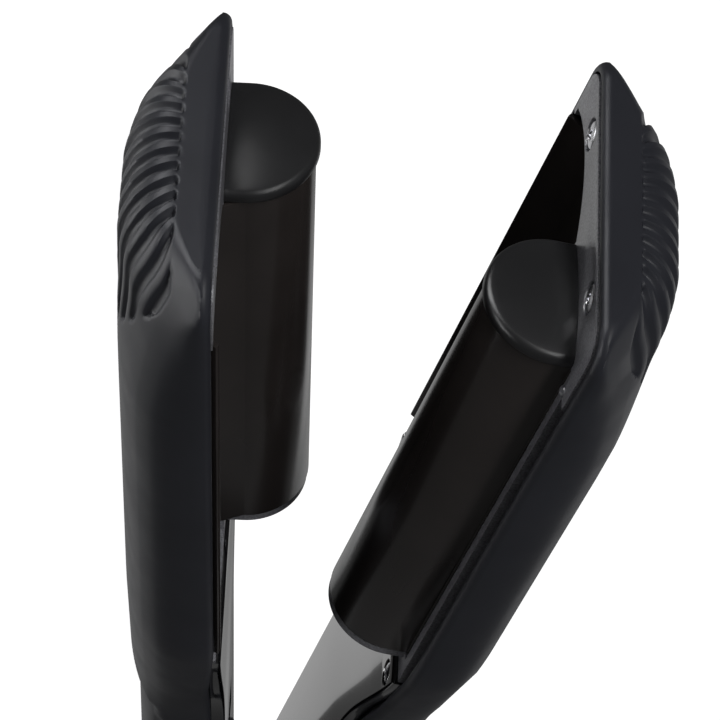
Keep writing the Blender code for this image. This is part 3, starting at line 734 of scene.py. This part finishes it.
def make_screw(name, node, body, place, u, v, lift=0.0, head=2.8, length=7.5):
    """Pan-head screw with a tapered cross recess."""
    dome = [(head * cos(a), lift - 0.3 + 0.72 * sin(a)) for a in [pi / 2 * k / 8 for k in range(8)]]
    profile = [(1.3, -length), (1.3, -1.0), (head - 0.15, -1.0), (head, -0.85)] + dome
    profile.append((0.2, lift + 0.42))
    screw = finish_mesh(name, turned(profile, (u, v, 0), "N", 48), place)
    rings = []
    for n, reach, slot in ((lift - 0.75, 0.8, 0.26), (lift + 1.0, 1.75, 0.42)):
        ring = []
        for c, s in ((1, 0), (0, 1), (-1, 0), (0, -1)):
            for x, y in ((reach, -slot), (reach, slot), (slot, slot)):
                ring.append((u + x * c - y * s, v + x * s + y * c, n))
        rings.append(ring)
    cut(screw, loft(rings), place)
    smooth(screw, 30)
    return place_piece(screw, body, "steel", node)


def make_inner_cover(arm, place):
    """Glossy cover over the handle's inner side, standing proud of the rim."""
    count = 44
    places = [COVER_BACK + (COVER_FRONT - COVER_BACK) * k / count for k in range(count + 1)]
    levels = [(0.3, -COVER_THICKNESS), (0.0, 0.2 - COVER_THICKNESS), (0.0, COVER_PROUD - COVER_EDGE)]
    levels += [(COVER_EDGE * (1 - cos(a)), COVER_PROUD - COVER_EDGE * (1 - sin(a)))
               for a in [pi / 2 * k / 5 for k in range(1, 6)]]
    rings = []
    for inset, n in levels:
        ends = [min(max(u, places[0] + inset), places[-1] - inset) for u in places]
        edge = [(u, half_width(v, "lower_", WALL + 0.5) - inset) for u, v in zip(ends, places)]
        outline = edge + [(u, -v) for u, v in edge[::-1]]
        rings.append([(u, v, n) for u, v in outline])
    cover = finish_mesh(f"{arm}cover_skin", loft(rings), place)
    u, v = COVER_SCREW
    hole, pocket, rim = SCREW_HOLE, COVER_POCKET, COVER_POCKET + POCKET_EDGE
    profile = [(hole, -4), (hole, COVER_SEAT), (pocket, COVER_SEAT), (pocket, COVER_PROUD - 0.2),
               (rim, COVER_PROUD + 0.1), (rim, 3)]
    cut(cover, turned(profile, (u, v, 0), "N", 48), place)
    if arm == "lower_":
        low, high = WINDOW_U
        window = block((low, high), (-WINDOW_HALF_WIDTH, WINDOW_HALF_WIDTH), (-5, 3))
        cut(cover, window, place)
        for u in BUTTON_U.values():
            well = turned([(BUTTON_RADIUS + GAP, -5), (BUTTON_RADIUS + GAP, 3)], (u, 0, 0), "N", 64)
            cut(cover, well, place)
    smooth(cover, 30)
    return place_piece(cover, f"{arm}arm", "gloss_black", f"{arm}inner_cover")


def make_controls(place):
    """Display window and three push buttons with dished tops, over the lower cover."""
    low, high = WINDOW_U
    wide = WINDOW_HALF_WIDTH - GAP / 2
    pane = block((low + GAP / 2, high - GAP / 2), (-wide, wide), (-1.6, COVER_PROUD - 0.15))
    window = finish_mesh("display_pane", pane, place)
    soften(window, 0.25, 3)
    settle(window)
    smooth(window)
    place_piece(window, "lower_arm", "display_glass", "display_window")
    top = BUTTON_PROUD + COVER_PROUD
    for name, u in BUTTON_U.items():
        profile = [(BUTTON_FLANGE, -4.0), (BUTTON_FLANGE, -2.4), (BUTTON_RADIUS, -2.4)]
        profile.append((BUTTON_RADIUS, top - BUTTON_EDGE))
        profile += [(BUTTON_RADIUS - BUTTON_EDGE * (1 - cos(a)), top - BUTTON_EDGE * (1 - sin(a)))
                    for a in (0.5, 1.0, pi / 2)]
        profile += [(BUTTON_RADIUS * f, top - BUTTON_DISH * (1 - f * f)) for f in (0.75, 0.5, 0.25, 0.04)]
        button = finish_mesh(f"{name}_cap", turned(profile, (u, 0, 0), "N"), place)
        place_piece(button, name, "button_grey", name)


def make_hinge(place):
    """Pin caps at the hinge's ends and the swivel where the cord would go in."""
    axis = (HINGE_U, 0, FACE_HALF_GAP)
    for label, side in (("near", 1), ("far", -1)):
        face = CHEEK_OUTER + GAP
        points = [(5.2, 0.0), (5.2, 0.35)]
        points += [(5.2 - 0.65 * (1 - cos(a)), 0.35 + 0.65 * sin(a)) for a in (0.4, 0.8, 1.2, pi / 2)]
        points += [(3.0, 0.95), (2.6, 0.8), (0.1, 0.8)]
        cap = turned([(r, side * (face + d)) for r, d in points], axis, "V")
        place_piece(finish_mesh(f"pin_cap_{label}", cap, place), "lower_arm", "soft_touch_black",
                    f"hinge_cap_{label}")
    mouth = (REAR["lower_"][0], 0, SWIVEL_LEVEL)
    inside = WALL + GAP
    profile = [(SWIVEL_FLANGE, inside + 2.0), (SWIVEL_FLANGE, inside), (SWIVEL_RADIUS, inside),
               (SWIVEL_RADIUS, -0.4)]
    for k in range(SWIVEL_RIBS):
        along = -1.0 - 1.7 * k
        wide = SWIVEL_RADIUS - 0.12 * k
        neck = wide - 0.5
        profile += [(wide, along), (wide, along - 0.9), (neck, along - 1.0), (neck, along - 1.6)]
    end = SWIVEL_RADIUS - 0.5
    profile += [(end, -8.2), (end - 0.1, -9.6), (end - 0.5, -SWIVEL_LENGTH)]
    swivel = finish_mesh("swivel_boot", turned(profile, mouth, "U"), place)
    cut(swivel, turned([(SWIVEL_HOLE, -SWIVEL_LENGTH - 2), (SWIVEL_HOLE, 9)], mouth, "U", 48), place)
    smooth(swivel, 30)
    place_piece(swivel, "cord_swivel", "soft_touch_black", "cord_swivel")


def dress_cad_nodes():
    """Materials and small edge roundings for the CAD nodes that stay."""
    finishes = {"hinge_pin": "steel", "hinge_spring": "spring_steel", "tail_cover": "soft_touch_black",
                "swivel_retainer": "spring_steel", "control_board": "board_green",
                "lower_temperature_sensor": "steel",
                "upper_thermal_fuse": "steel"}
    for arm in ("lower_", "upper_"):
        finishes[f"{arm}ptc_heater"] = "heater_white"
        finishes[f"{arm}heater_clip"] = "spring_steel"
    for node, finish in finishes.items():
        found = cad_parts[node]
        found.data.materials.clear()
        found.data.materials.append(MATERIALS[finish])
    soften(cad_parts["tail_cover"], 0.4, 3, 40)


# ---------------------------------------------------------------- studio

def camera_axes():
    """The camera's right, up and back directions."""
    azimuth, elevation, roll = (radians(a) for a in (CAMERA_AZIMUTH, CAMERA_ELEVATION, CAMERA_ROLL))
    back = Vector((cos(elevation) * cos(azimuth), cos(elevation) * sin(azimuth), sin(elevation)))
    side = (Vector((0, 0, 1)) - back * back.z).normalized()
    rise = back.cross(side)
    return side * cos(roll) + rise * sin(roll), rise * cos(roll) - side * sin(roll), back


def make_camera():
    """Long-lens camera at the object's viewing angle, rolled as its axes are."""
    right, up, back = camera_axes()
    data = bpy.data.cameras.new("camera")
    data.lens = CAMERA_LENS
    data.clip_start = 0.01
    camera = bpy.data.objects.new("camera", data)
    turn = Matrix((right, up, back)).transposed().to_4x4()
    camera.matrix_world = Matrix.Translation((CAMERA_TARGET + back * CAMERA_DISTANCE) * MM) @ turn
    bpy.context.collection.objects.link(camera)
    bpy.context.scene.camera = camera


def add_light(name, direction, distance, size, power):
    """Soft area light that faces the object, placed by (right, up, back) of the camera."""
    right, up, back = camera_axes()
    towards = (right * direction[0] + up * direction[1] + back * direction[2]).normalized()
    data = bpy.data.lights.new(name, "AREA")
    data.shape = "RECTANGLE"
    data.size, data.size_y = size
    data.energy = power
    light = bpy.data.objects.new(name, data)
    turn = Matrix((up.cross(towards).normalized(), towards.cross(up.cross(towards)).normalized(),
                   towards)).transposed().to_4x4()
    light.matrix_world = Matrix.Translation(CAMERA_TARGET * MM + towards * distance) @ turn
    bpy.context.collection.objects.link(light)


def make_world():
    """White for the eye; as a light, bright behind the object's two sides and dim elsewhere."""
    world = bpy.data.worlds.new("studio")
    bpy.context.scene.world = world
    world.use_nodes = True
    tree = world.node_tree
    tree.nodes.clear()
    back = camera_axes()[2]
    place = tree.nodes.new("ShaderNodeTexCoord")
    nearer = tree.nodes.new("ShaderNodeMath")
    nearer.operation = "MAXIMUM"
    for k, tilt in enumerate((-0.52, 0.52)):
        along = tree.nodes.new("ShaderNodeVectorMath")
        along.operation = "DOT_PRODUCT"
        along.inputs[1].default_value = Vector((-0.85 * back.x, -0.85 * back.y, tilt)).normalized()
        tree.links.new(place.outputs["Generated"], along.inputs[0])
        tree.links.new(along.outputs["Value"], nearer.inputs[k])
    spread = tree.nodes.new("ShaderNodeMapRange")
    spread.interpolation_type = "SMOOTHSTEP"
    spread.inputs["From Min"].default_value = 0.84
    spread.inputs["From Max"].default_value = 0.97
    spread.inputs["To Min"].default_value = 0.10
    spread.inputs["To Max"].default_value = 0.55
    tree.links.new(nearer.outputs["Value"], spread.inputs["Value"])
    glow = tree.nodes.new("ShaderNodeBackground")
    glow.inputs["Color"].default_value = (1, 1, 1, 1)
    tree.links.new(spread.outputs["Result"], glow.inputs["Strength"])
    seen = tree.nodes.new("ShaderNodeBackground")
    seen.inputs["Color"].default_value = (1, 1, 1, 1)
    seen.inputs["Strength"].default_value = 1.1
    rays = tree.nodes.new("ShaderNodeLightPath")
    mix = tree.nodes.new("ShaderNodeMixShader")
    tree.links.new(rays.outputs["Is Camera Ray"], mix.inputs["Fac"])
    tree.links.new(glow.outputs["Background"], mix.inputs[1])
    tree.links.new(seen.outputs["Background"], mix.inputs[2])
    out = tree.nodes.new("ShaderNodeOutputWorld")
    tree.links.new(mix.outputs["Shader"], out.inputs["Surface"])


def make_floor():
    """Plain white floor under the back of the lower arm."""
    rings = [[(2.5 * cos(2 * pi * k / 48), 2.5 * sin(2 * pi * k / 48), z) for k in range(48)]
             for z in (-0.01, -0.0003)]
    floor = finish_mesh("floor", loft(rings), Matrix.Identity(4))
    made = node_material("floor_white", (0.85, 0.85, 0.85), 0.9, vary=0.01, vary_scale=2.0,
                         sockets={"Emission Color": (1, 1, 1, 1), "Emission Strength": 1.0})
    floor.data.materials.append(made)
    floor.visible_diffuse = False
    floor.visible_glossy = False


def main():
    """Both arms, the parts between them, and the studio."""
    lower, upper = lower_frame(), upper_frame()
    make_lower_shell(lower)
    make_upper_shell(upper)
    for arm, place in (("lower_", lower), ("upper_", upper)):
        make_plate_frame(arm, place)
        make_heater_plate(arm, place)
        make_barrel_cap(arm, place)
        make_screw(f"{arm}cover_screw_head", f"{arm}cover_screw", f"{arm}arm", place, *COVER_SCREW,
                   lift=COVER_PROUD - 0.3, head=2.4, length=6.5)
        labels = ("far", "near") if arm == "lower_" else ("near", "far")
        for label, v in zip(labels, SCREW_TIP_V):
            make_screw(f"{arm}tip_screw_head_{label}", f"{arm}tip_screw_{label}", f"{arm}arm", place,
                       PLATE_LENGTH + SCREW_TIP_U, v, lift=TIP_SCREW_SUNK[arm])
        make_inner_cover(arm, place)
    make_controls(lower)
    make_hinge(lower)
    dress_cad_nodes()
    bpy.context.scene.view_settings.view_transform = "Standard"
    make_floor()
    make_world()
    make_camera()
    add_light("key", (-0.5, 0.9, 0.5), 1.0, (0.8, 0.5), 15)
    add_light("side", (0.45, 0.1, 0.9), 1.2, (0.11, 0.9), 6)
    add_light("front", (-0.85, 0.0, 0.6), 1.3, (0.3, 0.9), 7)
    add_light("edge", (-1.0, 0.1, -0.15), 1.0, (0.5, 0.9), 5)


main()
